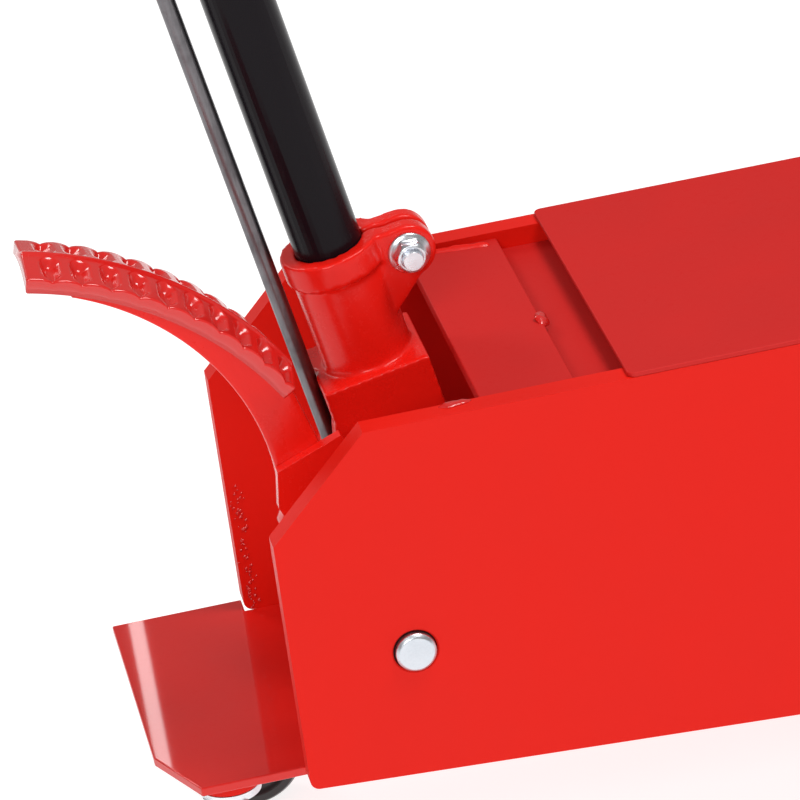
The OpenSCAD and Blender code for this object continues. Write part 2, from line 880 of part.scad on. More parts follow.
module crosshead()
    color(steel) row() translate([lever_x, 0, ram_z]) difference() {
        box(-head_half, head_half, -head_y, head_y, -head_z, head_z);
        box(-lever_pin_r - slot_fit, lever_pin_r + slot_fit, -head_y - 1, head_y + 1,
            -head_z + cross_web, head_z - cross_web);
    }

// lift arm

module cheek_shape() {
    circle(arm_root);
    polygon([[-4, arm_root], [arm_len, arm_tip], [arm_len, -arm_tip], [-4, -arm_root]]);
    translate([arm_len, 0]) circle(arm_tip);
    rotate(arm_drop - 90 - lever_swing) {
        translate([lever_r, 0]) circle(lever_tip_w);
        polygon([[0, -lever_root_w], [lever_r, -lever_tip_w], [lever_r, lever_tip_w],
            [0, lever_root_w]]);
    }
}

module arm_cheeks()
    color(red) in_arm() for (y0 = [-cheek_y0 - cheek_t, cheek_y0]) difference() {
        slab_y(y0, y0 + cheek_t) cheek_shape();
        rod_y(hub_r, -100, 100);
        translate([arm_len, 0, 0]) rod_y(tip_pin_r, -100, 100);
        rotate([0, 90 + lever_swing - arm_drop, 0]) translate([lever_r, 0, 0])
            rod_y(lever_pin_r, -100, 100);
    }

module arm_hub()
    color(red) in_arm() ring_y(hub_r, shaft_r + run_fit, -hub_half, hub_half);

module arm_webs()
    color(red) in_arm() {
        box(web_s0, web_s1, -cheek_y0, cheek_y0, web_off, web_off + web_t);
        box(web_s0, web_s1, -cheek_y0, cheek_y0, -web_off - web_t, -web_off);
        for (s = [0.33, 0.66])
            translate([web_s0 + (web_s1 - web_s0) * s, 0, 0])
                box(-web_t / 2, web_t / 2, -cheek_y0, cheek_y0, -web_off, web_off);
    }

module lever_pin()
    color(steel) row() translate([lever_x, 0, lever_z])
        rod_y(lever_pin_r, -cheek_y0 - cheek_t - pin_over, cheek_y0 + cheek_t + pin_over);

module bracket_pin()
    color(steel) in_tip()
        rod_y(tip_pin_r, -cheek_y0 - cheek_t - tip_pin_over, cheek_y0 + cheek_t + tip_pin_over);

module link_bar(y0)
    color(red) row() translate([arm_x + link_dx, 0, arm_z + link_dz]) rotate([0, arm_drop, 0])
        difference() {
            slab_y(y0, y0 + link_t) {
                circle(link_eye_r);
                translate([0, -link_half]) square([arm_len, 2 * link_half]);
                translate([arm_len, 0]) circle(link_eye_r);
            }
            rod_y(link_pin_r + run_fit, -120, 120);
            translate([arm_len, 0, 0]) rod_y(link_pin_r + link_fit, -120, 120);
        }

module link_bars() {
    link_bar(-link_y0 - link_t);
    link_bar(link_y0);
}

module link_pin()
    color(steel) in_tip() translate([link_dx, 0, link_dz])
        rod_y(link_pin_r, -link_y0 - link_t - link_pin_over, link_y0 + link_t + link_pin_over);

module saddle_bracket()
    color(red) in_tip() difference() {
        union() {
            slab_y(-brk_half, brk_half) {
                circle(tip_pin_r + brk_boss);
                translate([-brk_x, 0]) square([2 * brk_x, seat_h]);
            }
            for (y0 = [-brk_half, brk_half - brk_ear_t])
                slab_y(y0, y0 + brk_ear_t) {
                    translate([link_dx, link_dz]) circle(link_pin_r + brk_eye);
                    polygon([[-16, -12], [16, 8], [link_dx + 14, link_dz + 8],
                        [link_dx - 13, link_dz - 9]]);
                }
        }
        rod_y(tip_pin_r + run_fit, -80, 80);
        translate([link_dx, 0, link_dz]) rod_y(link_pin_r, -80, 80);
        translate([0, 0, seat_h - spigot_l - 1]) cylinder(r = spigot_r + run_fit, h = spigot_l + 2);
    }

module saddle()
    color(black) in_tip() translate([0, 0, seat_h + slip]) difference() {
        union() {
            translate([0, 0, -spigot_l]) cylinder(r = spigot_r, h = spigot_l + 1);
            cylinder(r1 = saddle_r - saddle_in, r2 = saddle_r, h = saddle_cone);
            translate([0, 0, saddle_cone]) cylinder(r = saddle_r, h = saddle_h - saddle_cone);
        }
        translate([0, 0, saddle_h - saddle_deep]) difference() {
            cylinder(r = saddle_r - saddle_rim, h = saddle_deep + 2);
            for (k = [0 : 2])
                rotate([0, 0, k * 60]) translate([-saddle_r, -rib_w / 2, -1])
                    cube([saddle_d, rib_w, rib_h + 1]);
            cylinder(r = adapter_r + adapter_boss, h = rib_h);
        }
        translate([0, 0, saddle_h - adapter_deep]) cylinder(r = adapter_r, h = 40);
        for (k = [0 : 11])
            rotate([0, 0, k * 30]) translate([saddle_r - tooth_in, -tooth_w / 2, saddle_h - tooth_h])
                cube([tooth_in + 2, tooth_w, tooth_h + 2]);
    }

// wheels

module wheel_at(y0)
    color(black) row() translate([axle_x, y0, axle_z]) rotate([-90, 0, 0]) difference() {
        rotate_extrude($fn = 96)
            polygon([[axle_r + bore_fit, 0], [axle_r + hub_wide, 0], [axle_r + hub_wide + 2, dish - 2],
                [wheel_r - tyre_in - 4, dish], [wheel_r - tyre_in, 2], [wheel_r - tyre_edge, 2],
                [wheel_r, tyre_cham], [wheel_r, wheel_w - tyre_cham],
                [wheel_r - tyre_edge, wheel_w - 2], [wheel_r - tyre_in, wheel_w - 2],
                [wheel_r - tyre_in - 4, wheel_w - dish], [axle_r + hub_wide + 2, wheel_w - dish + 2],
                [axle_r + hub_wide, wheel_w], [axle_r + bore_fit, wheel_w]]);
        for (k = [0 : 5])
            rotate([0, 0, k * 60]) translate([(wheel_r + axle_r) / 2 - 1, 0, -1])
                cylinder(r = wheel_hole_r, h = wheel_w + 2);
    }

module front_wheel_near() wheel_at(-wheel_y1);

module front_wheel_far() wheel_at(wheel_y0);

// the near castor trails to the rear and the far one to the front
module castor_fork_at(s) {
    drop = rear_gap - base_t - housing_h - castor_r;
    leg_y = castor_w / 2 + leg_play;
    color(steel) row() translate([castor_x, s * castor_y, -base_t - housing_h]) scale([s, 1, 1]) {
        cylinder(r = kingpin_r, h = housing_h - 4);
        translate([0, 0, -slip - crown_t]) cylinder(r = crown_r, h = crown_t);
        translate([0, 0, -slip - eps]) cylinder(r = kingpin_r, h = slip + 2 * eps);
        for (y0 = [-leg_y - leg_t, leg_y])
            slab_y(y0, y0 + leg_t)
                polygon([[-leg_top, -crown_t], [castor_off - leg_foot, -drop - leg_round],
                    [castor_off, -drop - leg_foot], [castor_off + leg_foot, -drop - leg_round],
                    [leg_top, -crown_t]]);
        translate([castor_off, 0, -drop]) rod_y(castor_axle_r, -leg_y - leg_t - 3, leg_y + leg_t + 3);
    }
}

module castor_wheel_at(s)
    color(rubber) row() translate([castor_x + s * castor_off, s * castor_y - castor_w / 2,
        castor_r - rear_gap]) rotate([-90, 0, 0])
        rotate_extrude($fn = 72)
            polygon([[castor_axle_r + bore_fit, 0], [castor_axle_r + castor_hub, 0],
                [castor_axle_r + castor_hub + 1, castor_dish],
                [castor_r - castor_rim - 2, castor_dish], [castor_r - castor_rim, 1],
                [castor_r - castor_edge, 1], [castor_r, castor_cham],
                [castor_r, castor_w - castor_cham], [castor_r - castor_edge, castor_w - 1],
                [castor_r - castor_rim, castor_w - 1],
                [castor_r - castor_rim - 2, castor_w - castor_dish],
                [castor_axle_r + castor_hub + 1, castor_w - castor_dish],
                [castor_axle_r + castor_hub, castor_w], [castor_axle_r + bore_fit, castor_w]]);

module castor_fork_near() castor_fork_at(-1);

module castor_fork_far() castor_fork_at(1);

module castor_wheel_near() castor_wheel_at(-1);

module castor_wheel_far() castor_wheel_at(1);

side_plate_near();
side_plate_far();
top_cover();
rear_cross_plate();
base_plate();
belly_plate();
front_cross_plate();
ram_cradle();
yoke_pins();
arm_shaft();
shaft_collars();
link_anchors();
front_axle();
axle_washers();
axle_nuts();
hydraulic_block();
block_bolts();
ram_cylinder();
ram_gland();
oil_tank();
filler_plug();
valve_gland();
pump_gland();
castor_housings();
pedal_spring();
yoke();
clamp_bolt();
clamp_nut();
handle_tube();
handle_crossbar();
handle_grips();
rod_guides();
pump_roller();
release_rod();
release_knob();
drive_pin();
valve_spindle();
pedal_casting();
pedal_plate();
pedal_boss();
pump_plunger();
plunger_head();
pump_spring();
piston_rod();
crosshead();
arm_cheeks();
arm_hub();
arm_webs();
lever_pin();
bracket_pin();
link_bars();
link_pin();
saddle_bracket();
saddle();
front_wheel_near();
front_wheel_far();
castor_fork_near();
castor_fork_far();
castor_wheel_near();
castor_wheel_far();
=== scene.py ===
import json
import math
import bmesh
import bpy
import numpy as np
from mathutils import Matrix, Vector


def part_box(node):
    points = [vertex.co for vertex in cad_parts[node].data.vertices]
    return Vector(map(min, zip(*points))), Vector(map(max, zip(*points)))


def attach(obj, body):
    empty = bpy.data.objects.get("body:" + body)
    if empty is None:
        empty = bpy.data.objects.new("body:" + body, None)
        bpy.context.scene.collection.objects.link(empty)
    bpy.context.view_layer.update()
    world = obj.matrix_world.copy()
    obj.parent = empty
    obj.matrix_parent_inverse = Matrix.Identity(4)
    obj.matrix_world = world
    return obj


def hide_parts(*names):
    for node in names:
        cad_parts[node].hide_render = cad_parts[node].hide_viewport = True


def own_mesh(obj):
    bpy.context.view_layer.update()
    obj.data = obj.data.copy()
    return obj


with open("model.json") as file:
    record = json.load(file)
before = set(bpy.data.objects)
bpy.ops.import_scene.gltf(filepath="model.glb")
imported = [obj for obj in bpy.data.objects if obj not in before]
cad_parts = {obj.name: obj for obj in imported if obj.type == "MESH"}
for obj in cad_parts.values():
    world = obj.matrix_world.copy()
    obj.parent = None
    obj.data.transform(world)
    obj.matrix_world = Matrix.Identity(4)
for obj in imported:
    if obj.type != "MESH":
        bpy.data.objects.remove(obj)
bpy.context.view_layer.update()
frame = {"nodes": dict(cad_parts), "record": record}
record = frame["record"]
jointPlace = {j["name"]: j for j in record["behaviour"]["joints"]}
bodyOf = {n: b for b, nodes in record["behaviour"]["bodies"].items() for n in nodes}
pivot = np.array(jointPlace["handle_fold"]["pos_m"])
handleUp = np.array(jointPlace["release_twist"]["axis"], float)
handleUp /= np.linalg.norm(handleUp)
handleAhead = np.array([handleUp[2], 0.0, -handleUp[0]])
across = np.array([0.0, 1.0, 0.0])
mm = 0.001
print("frame loaded:", len(frame["nodes"]), "nodes")


# a shader group with named inputs and outputs, ready for nodes
def newGroup(name, inputs, outputs):
    group = bpy.data.node_groups.new(name, "ShaderNodeTree")
    for label, kind, value in inputs:
        socket = group.interface.new_socket(label, in_out="INPUT", socket_type=kind)
        if value is not None:
            socket.default_value = value
    for label, kind in outputs:
        group.interface.new_socket(label, in_out="OUTPUT", socket_type=kind)
    return group, group.nodes.new("NodeGroupInput"), group.nodes.new("NodeGroupOutput")


# a new node of a tree at a spot on the node sheet, with its settings
def place(tree, kind, at, **settings):
    node = tree.nodes.new(kind)
    node.location = at
    for key, value in settings.items():
        setattr(node, key, value)
    return node


# a link from one socket to another
def join(tree, source, target):
    tree.links.new(source, target)


# the outcome of one sum, whose inputs are numbers or sockets
def mathNode(tree, operation, at, first=None, second=None, clamp=False):
    node = place(tree, "ShaderNodeMath", at, operation=operation, use_clamp=clamp)
    for slot, value in ((0, first), (1, second)):
        if value is None:
            continue
        if isinstance(value, (int, float)):
            node.inputs[slot].default_value = value
        else:
            join(tree, value, node.inputs[slot])
    return node.outputs[0]


# a noise from 0 to 1 at a scale that is a number or a socket
def noiseNode(tree, at, vector, scale, detail=4.0, rough=0.5):
    node = place(tree, "ShaderNodeTexNoise", at)
    join(tree, vector, node.inputs["Vector"])
    node.inputs["Detail"].default_value = detail
    node.inputs["Roughness"].default_value = rough
    if isinstance(scale, (int, float)):
        node.inputs["Scale"].default_value = scale
    else:
        join(tree, scale, node.inputs["Scale"])
    return node.outputs[0]


# enamel skin: orange peel, dust nibs and a slow drift of colour
def buildEnamelGroup():
    group, given, out = newGroup(
        "enamelSkin",
        [("Vector", "NodeSocketVector", None), ("Colour", "NodeSocketColor", (0.7, 0.02, 0.01, 1)),
         ("Peel Scale", "NodeSocketFloat", 320.0), ("Peel", "NodeSocketFloat", 0.35),
         ("Nibs", "NodeSocketFloat", 0.5), ("Drift", "NodeSocketFloat", 0.08),
         ("Roughness", "NodeSocketFloat", 0.3)],
        [("Colour", "NodeSocketColor"), ("Roughness", "NodeSocketFloat"), ("Height", "NodeSocketFloat")])
    spot = given.outputs["Vector"]
    peel = noiseNode(group, (-900, 300), spot, given.outputs["Peel Scale"], 3.0, 0.55)
    slow = noiseNode(group, (-900, 60), spot, 14.0, 5.0, 0.6)
    fine = noiseNode(group, (-900, -180), spot, 1500.0, 2.0, 0.7)
    cells = place(group, "ShaderNodeTexVoronoi", (-900, -420), feature="F1")
    cells.inputs["Scale"].default_value = 60.0
    cells.inputs["Randomness"].default_value = 1.0
    join(group, spot, cells.inputs["Vector"])
    nib = mathNode(group, "LESS_THAN", (-650, -420), cells.outputs["Distance"], 0.05)
    nib = mathNode(group, "MULTIPLY", (-480, -420), nib, given.outputs["Nibs"])
    peelPart = mathNode(group, "MULTIPLY", (-480, 300), peel, given.outputs["Peel"])
    height = mathNode(group, "ADD", (-300, 200), peelPart, nib)
    tint = mathNode(group, "SUBTRACT", (-650, 60), slow, 0.5)
    grain = mathNode(group, "SUBTRACT", (-650, -180), fine, 0.5)
    grain = mathNode(group, "MULTIPLY", (-500, -180), grain, 0.6)
    tint = mathNode(group, "ADD", (-480, 60), tint, grain)
    tint = mathNode(group, "MULTIPLY", (-320, 60), tint, given.outputs["Drift"])
    gain = mathNode(group, "ADD", (-160, 60), tint, 1.0)
    colour = place(group, "ShaderNodeMix", (0, 60), data_type="RGBA", blend_type="MULTIPLY")
    colour.inputs[0].default_value = 1.0
    join(group, given.outputs["Colour"], colour.inputs[6])
    join(group, gain, colour.inputs[7])
    sway = mathNode(group, "SUBTRACT", (-480, -60), slow, 0.5)
    rough = mathNode(group, "MULTIPLY", (-320, -60), sway, 0.25)
    rough = mathNode(group, "ADD", (0, -100), rough, given.outputs["Roughness"], True)
    join(group, colour.outputs[2], out.inputs["Colour"])
    join(group, rough, out.inputs["Roughness"])
    join(group, height, out.inputs["Height"])
    return group


# rub marks: bare patches where paint has been knocked, in a mask from 0 to 1
def buildRubGroup():
    group, given, out = newGroup(
        "rubMask",
        [("Vector", "NodeSocketVector", None), ("Edge", "NodeSocketFloat", 0.0),
         ("Scale", "NodeSocketFloat", 55.0), ("Amount", "NodeSocketFloat", 0.3)],
        [("Mask", "NodeSocketFloat"), ("Scuff", "NodeSocketFloat")])
    spot = given.outputs["Vector"]
    patches = noiseNode(group, (-700, 100), spot, given.outputs["Scale"], 8.0, 0.65)
    scuffs = noiseNode(group, (-700, -150), spot, 220.0, 6.0, 0.7)
    edge = mathNode(group, "MULTIPLY", (-700, 300), given.outputs["Edge"], 0.35)
    total = mathNode(group, "ADD", (-480, 200), patches, edge)
    reach = mathNode(group, "MULTIPLY", (-480, 0), given.outputs["Amount"], 0.2)
    limit = mathNode(group, "SUBTRACT", (-320, 0), 0.84, reach)
    over = mathNode(group, "SUBTRACT", (-320, 200), total, limit)
    mask = mathNode(group, "MULTIPLY", (-160, 200), over, 18.0, True)
    scuff = mathNode(group, "SUBTRACT", (-320, -150), scuffs, 0.55)
    scuff = mathNode(group, "MULTIPLY", (-160, -150), scuff, 4.0, True)
    join(group, mask, out.inputs["Mask"])
    join(group, scuff, out.inputs["Scuff"])
    return group


# turned or drawn metal: fine lines along one axis, with darker oil stains
def buildMetalGroup():
    group, given, out = newGroup(
        "metalGrain",
        [("Vector", "NodeSocketVector", None), ("Stretch", "NodeSocketVector", (40.0, 900.0, 900.0)),
         ("Light", "NodeSocketColor", (0.6, 0.6, 0.6, 1)), ("Dark", "NodeSocketColor", (0.2, 0.2, 0.2, 1)),
         ("Stain", "NodeSocketFloat", 0.4), ("Roughness", "NodeSocketFloat", 0.35)],
        [("Colour", "NodeSocketColor"), ("Roughness", "NodeSocketFloat"), ("Height", "NodeSocketFloat")])
    spot = given.outputs["Vector"]
    scaled = place(group, "ShaderNodeVectorMath", (-900, 200), operation="MULTIPLY")
    join(group, spot, scaled.inputs[0])
    join(group, given.outputs["Stretch"], scaled.inputs[1])
    lines = noiseNode(group, (-700, 200), scaled.outputs[0], 1.0, 4.0, 0.6)
    stains = noiseNode(group, (-700, -50), spot, 38.0, 6.0, 0.6)
    mix = mathNode(group, "SUBTRACT", (-600, -50), stains, 0.42)
    mix = mathNode(group, "MULTIPLY", (-480, -50), mix, 3.5, True)
    mix = mathNode(group, "MULTIPLY", (-320, -50), mix, given.outputs["Stain"])
    wave = mathNode(group, "SUBTRACT", (-560, 200), lines, 0.5)
    wave = mathNode(group, "MULTIPLY", (-480, 200), wave, 0.5)
    share = mathNode(group, "ADD", (-200, 60), mix, wave, True)
    colour = place(group, "ShaderNodeMix", (0, 60), data_type="RGBA")
    join(group, share, colour.inputs[0])
    join(group, given.outputs["Light"], colour.inputs[6])
    join(group, given.outputs["Dark"], colour.inputs[7])
    rough = mathNode(group, "MULTIPLY", (-160, -160), share, 0.3)
    rough = mathNode(group, "ADD", (0, -160), rough, given.outputs["Roughness"], True)
    join(group, colour.outputs[2], out.inputs["Colour"])
    join(group, rough, out.inputs["Roughness"])
    join(group, lines, out.inputs["Height"])
    return group


enamelSkin = buildEnamelGroup()
rubMask = buildRubGroup()
metalGrain = buildMetalGroup()
print("shader groups built")

# roughness that a full scuff adds, and the full heights of the enamel's peel and of metal's grain, in metres
scuffRough, peelDepth, grainDepth = 0.12, 0.0004, 0.0002


# a material with a bare shader, and the object's own coordinates for its patterns
def startMaterial(name):
    material = bpy.data.materials.new(name)
    material.use_nodes = True
    tree = material.node_tree
    tree.nodes.clear()
    out = place(tree, "ShaderNodeOutputMaterial", (900, 0))
    shader = place(tree, "ShaderNodeBsdfPrincipled", (600, 0))
    join(tree, shader.outputs[0], out.inputs["Surface"])
    spot = place(tree, "ShaderNodeTexCoord", (-700, 0)).outputs["Object"]
    return material, tree, shader, spot


# a shader group placed in a tree; a low line in a value's name stands for a space
def groupNode(tree, group, at, **values):
    node = place(tree, "ShaderNodeGroup", at)
    node.node_tree = group
    for key, value in values.items():
        node.inputs[key.replace("_", " ")].default_value = value
    return node


# a height turned into the shader's normal; distance is the full height in metres
def bumpFrom(tree, shader, height, strength, distance):
    bump = place(tree, "ShaderNodeBump", (350, -250))
    bump.inputs["Strength"].default_value = strength
    bump.inputs["Distance"].default_value = distance
    join(tree, height, bump.inputs["Height"])
    join(tree, bump.outputs[0], shader.inputs["Normal"])


# glossy enamel with orange peel, nibs and small rubbed patches of primer
def enamelMaterial(name, colour, roughness, peel=0.35, nibs=0.35, drift=0.08, rub=0.0,
                   bare=(0.16, 0.02, 0.015, 1), coat=0.3, bump=0.25, specular=0.5, peelScale=320.0,
                   coatRough=0.12):
    material, tree, shader, spot = startMaterial(name)
    skin = groupNode(tree, enamelSkin, (-300, 150), Colour=colour, Peel=peel, Nibs=nibs,
                     Drift=drift, Roughness=roughness, Peel_Scale=peelScale)
    join(tree, spot, skin.inputs["Vector"])
    rubbed = groupNode(tree, rubMask, (-300, -200), Amount=rub)
    join(tree, spot, rubbed.inputs["Vector"])
    colourMix = place(tree, "ShaderNodeMix", (200, 150), data_type="RGBA")
    join(tree, rubbed.outputs["Mask"], colourMix.inputs[0])
    join(tree, skin.outputs["Colour"], colourMix.inputs[6])
    colourMix.inputs[7].default_value = bare
    join(tree, colourMix.outputs[2], shader.inputs["Base Color"])
    rough = mathNode(tree, "MULTIPLY", (0, -150), rubbed.outputs["Scuff"], scuffRough)
    rough = mathNode(tree, "ADD", (200, -60), rough, skin.outputs["Roughness"], True)
    join(tree, rough, shader.inputs["Roughness"])
    shader.inputs["Coat Weight"].default_value = coat
    shader.inputs["Coat Roughness"].default_value = coatRough
    shader.inputs["Specular IOR Level"].default_value = specular
    bumpFrom(tree, shader, skin.outputs["Height"], bump, peelDepth)
    return material


# bare or plated metal with drawn or turned lines and stains
def metalMaterial(name, light, dark, roughness, stretch=(40.0, 900.0, 900.0), stain=0.4, metallic=1.0,
                  bump=0.1):
    material, tree, shader, spot = startMaterial(name)
    grain = groupNode(tree, metalGrain, (-300, 100), Stretch=stretch, Light=light, Dark=dark,
                      Stain=stain, Roughness=roughness)
    join(tree, spot, grain.inputs["Vector"])
    join(tree, grain.outputs["Colour"], shader.inputs["Base Color"])
    join(tree, grain.outputs["Roughness"], shader.inputs["Roughness"])
    shader.inputs["Metallic"].default_value = metallic
    bumpFrom(tree, shader, grain.outputs["Height"], bump, grainDepth)
    return material


materialSet = {
    "plateRed": dict(colour=(0.74, 0.010, 0.004, 1), roughness=0.46, peel=0.3, nibs=0.25, drift=0.06,
                     coat=0.0, specular=0.16),
    "baseRed": dict(colour=(0.66, 0.010, 0.006, 1), roughness=0.4, peel=0.3, nibs=0.3, drift=0.08, coat=0.7,
                    specular=0.16, coatRough=0.025),
    "coverRed": dict(colour=(0.56, 0.013, 0.011, 1), roughness=0.55, peel=0.25, nibs=0.2, drift=0.10,
                     coat=0.0, specular=0.22),
    "castRed": dict(colour=(0.78, 0.010, 0.005, 1), roughness=0.28, peel=0.8, nibs=0.6, drift=0.10, coat=0.06,
                    specular=0.26, bump=0.5, peelScale=170.0),
    "treadRed": dict(colour=(0.66, 0.012, 0.009, 1), roughness=0.2, peel=0.5, nibs=0.3, drift=0.15, coat=0.5,
                     bump=0.4, peelScale=200.0),
    # the near-black red below is painted shade, for dark pieces set where there is only shadow
    "paintedShadeRed": dict(colour=(0.03, 0.002, 0.003, 1), roughness=0.5, peel=0.5, nibs=0.5, drift=0.2, coat=0.0,
                     bare=(0.02, 0.004, 0.004, 1), specular=0.1),
    "weldRed": dict(colour=(0.62, 0.010, 0.008, 1), roughness=0.2, peel=1.0, nibs=1.0, drift=0.2, coat=0.8,
                    bump=0.6, peelScale=420.0),
    "black": dict(colour=(0.006, 0.004, 0.006, 1), roughness=0.2, peel=0.25, nibs=0.3, drift=0.3, coat=0.0,
                  bare=(0.012, 0.008, 0.008, 1), specular=0.12),
}
finish = {name: enamelMaterial(name, **values) for name, values in materialSet.items()}
finish["zinc"] = metalMaterial("zinc", (0.82, 0.84, 0.88, 1), (0.50, 0.53, 0.60, 1), 0.24, stain=0.35)
finish["bare"] = metalMaterial("bareSteel", (0.42, 0.41, 0.40, 1), (0.12, 0.11, 0.11, 1), 0.38, stain=0.6)
finish["rod"] = metalMaterial("drawnRod", (0.20, 0.19, 0.20, 1), (0.055, 0.05, 0.055, 1), 0.36,
                              stretch=(900.0, 900.0, 60.0), stain=0.5)
finish["pin"] = metalMaterial("pinFace", (0.66, 0.70, 0.75, 1), (0.40, 0.43, 0.48, 1), 0.34,
                              stretch=(700.0, 30.0, 700.0), stain=0.25)
finish["chrome"] = metalMaterial("groundChrome", (0.85, 0.86, 0.88, 1), (0.6, 0.6, 0.62, 1), 0.1, stain=0.15)
finish["spring"] = metalMaterial("springSteel", (0.2, 0.2, 0.22, 1), (0.05, 0.05, 0.05, 1), 0.4, stain=0.6)
finish["brass"] = metalMaterial("brassPlug", (0.75, 0.52, 0.20, 1), (0.32, 0.20, 0.07, 1), 0.28, stain=0.5)
finish["rubber"] = enamelMaterial("rubber", (0.02, 0.02, 0.021, 1), 0.62, peel=0.6, nibs=0.1, drift=0.4,
                                  coat=0.0, bump=0.5, specular=0.3, peelScale=900.0)
finish["nylon"] = enamelMaterial("nylon", (0.03, 0.03, 0.032, 1), 0.4, peel=0.4, nibs=0.5, drift=0.4,
                                 coat=0.1, bare=(0.09, 0.08, 0.07, 1), rub=0.5)
print("materials:", len(finish))


# a mesh object from whole arrays of points and faces, riding on the body of a CAD node
def meshPiece(name, points, faces, material, node, standsFor=(), smooth=True, slotName=None):
    mesh = bpy.data.meshes.new(name)
    mesh.from_pydata(np.asarray(points).reshape(-1, 3).tolist(), [], faces)
    mesh.polygons.foreach_set("use_smooth", np.full(len(mesh.polygons), smooth))
    mesh.materials.append(material)
    mesh.validate()
    piece = bpy.data.objects.new(name, mesh)
    bpy.context.scene.collection.objects.link(piece)
    mesh.update()
    shell = bmesh.new()
    shell.from_mesh(mesh)
    bmesh.ops.remove_doubles(shell, verts=shell.verts, dist=1e-6)
    bmesh.ops.recalc_face_normals(shell, faces=shell.faces)
    shell.to_mesh(mesh)
    shell.free()
    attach(piece, bodyOf[node])
    if standsFor:
        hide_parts(*standsFor)
    return piece


# faces of a grid of rows by columns; loop closes the columns, and caps close the first and last rows
def gridFaces(rows, columns, loop=True, caps=True):
    i, j = np.meshgrid(np.arange(rows - 1), np.arange(columns if loop else columns - 1), indexing="ij")
    k = (j + 1) % columns
    quads = np.stack([i * columns + j, i * columns + k, (i + 1) * columns + k, (i + 1) * columns + j], -1)
    faces = quads.reshape(-1, 4).tolist()
    if caps and loop:
        faces.append(list(range(columns))[::-1])
        faces.append(list(range((rows - 1) * columns, rows * columns)))
    return faces


# a closed tube of rings: points is rings x columns x 3
def ringPiece(name, points, material, node, **more):
    rows, columns = points.shape[:2]
    return meshPiece(name, points, gridFaces(rows, columns), material, node, **more)


# a smoothstep from low to high
def smoothStep(low, high, value):
    t = np.clip((value - low) / (high - low), 0.0, 1.0)
    return t * t * (3.0 - 2.0 * t)


# a merged copy of a CAD node
def mergedCopy(node, name):
    mesh = frame["nodes"][node].data.copy()
    mesh.name = name
    shell = bmesh.new()
    shell.from_mesh(mesh)
    bmesh.ops.remove_doubles(shell, verts=shell.verts, dist=2e-6)
    return mesh, shell


# hard-edged plates and turned parts: a copy of the node with a small round on each edge
def softCopy(node, material, width=0.8, segments=3, angle=32.0):
    mesh, shell = mergedCopy(node, node + "Soft")
    bmesh.ops.dissolve_limit(shell, angle_limit=math.radians(0.6), verts=shell.verts, edges=shell.edges)
    shell.to_mesh(mesh)
    shell.free()
    mesh.materials.clear()
    mesh.materials.append(material)
    mesh.polygons.foreach_set("use_smooth", np.full(len(mesh.polygons), True))
    mesh.set_sharp_from_angle(angle=math.radians(angle))
    piece = bpy.data.objects.new(node + "Soft", mesh)
    bpy.context.scene.collection.objects.link(piece)
    bevel = piece.modifiers.new("edgeRound", "BEVEL")
    bevel.width = width * mm
    bevel.segments = segments
    bevel.limit_method = "ANGLE"
    bevel.angle_limit = math.radians(angle)
    bevel.harden_normals = True
    bevel.use_clamp_overlap = True
    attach(piece, bodyOf[node])
    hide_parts(node)
    return piece


# castings: a copy of the node remeshed and relaxed, so corners and roots run into each other
def castCopy(node, material, voxel=1.3, rounds=6, strength=0.5):
    mesh, shell = mergedCopy(node, node + "Cast")
    shell.to_mesh(mesh)
    shell.free()
    mesh.materials.clear()
    mesh.materials.append(material)
    piece = bpy.data.objects.new(node + "Cast", mesh)
    bpy.context.scene.collection.objects.link(piece)
    remesh = piece.modifiers.new("skin", "REMESH")
    remesh.mode = "VOXEL"
    remesh.voxel_size = voxel * mm
    remesh.use_smooth_shade = True
    relax = piece.modifiers.new("relax", "SMOOTH")
    relax.factor = strength
    relax.iterations = rounds
    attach(piece, bodyOf[node])
    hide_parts(node)
    return piece


# a point of the handle's own frame (ahead, across, up along the handle, in mm) in the row's frame
def onHandle(ahead, side, up):
    ahead, side, up = (np.asarray(v, float)[..., None] for v in (ahead, side, up))
    return pivot + mm * (ahead * handleAhead + side * across + up * handleUp)


